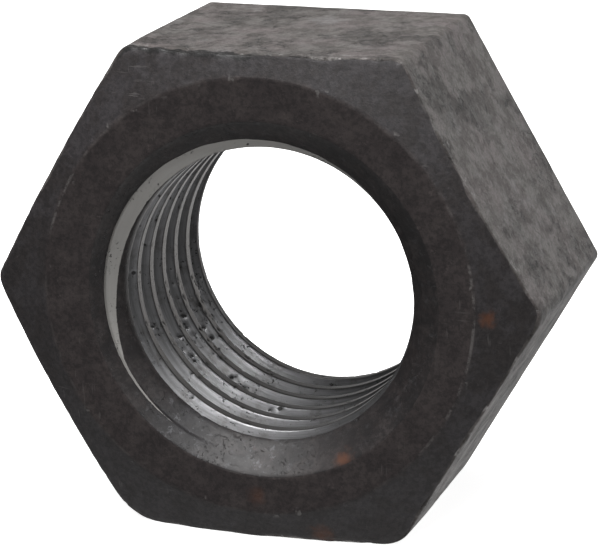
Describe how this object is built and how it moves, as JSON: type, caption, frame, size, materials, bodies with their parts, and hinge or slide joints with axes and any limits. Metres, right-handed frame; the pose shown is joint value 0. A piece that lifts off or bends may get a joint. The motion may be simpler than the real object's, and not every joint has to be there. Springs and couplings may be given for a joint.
{
  "type": "hex nut",
  "caption": "Heavy forged steel hexagon nut with a right-hand inch thread, a round chamfer on its front face and a plain flat back.",
  "frame": {"origin": "on the thread axis, halfway between the front and back faces, which is also the centre of the bounding box", "axes": "+Y along the thread axis, out of the plain back face, so the chamfered front face looks along -Y; +Z square out of one wrench flat; X across two opposite corners. The nut stands on the flat that looks along -Z."},
  "size_m": [0.0656, 0.0326, 0.0572],
  "materials": {
    "forged_steel": "dark hot-forged scale outside, bright machined thread inside"
  },
  "bodies": {
    "root": {"hex_nut": "forged_steel"}
  },
  "joints": []
}
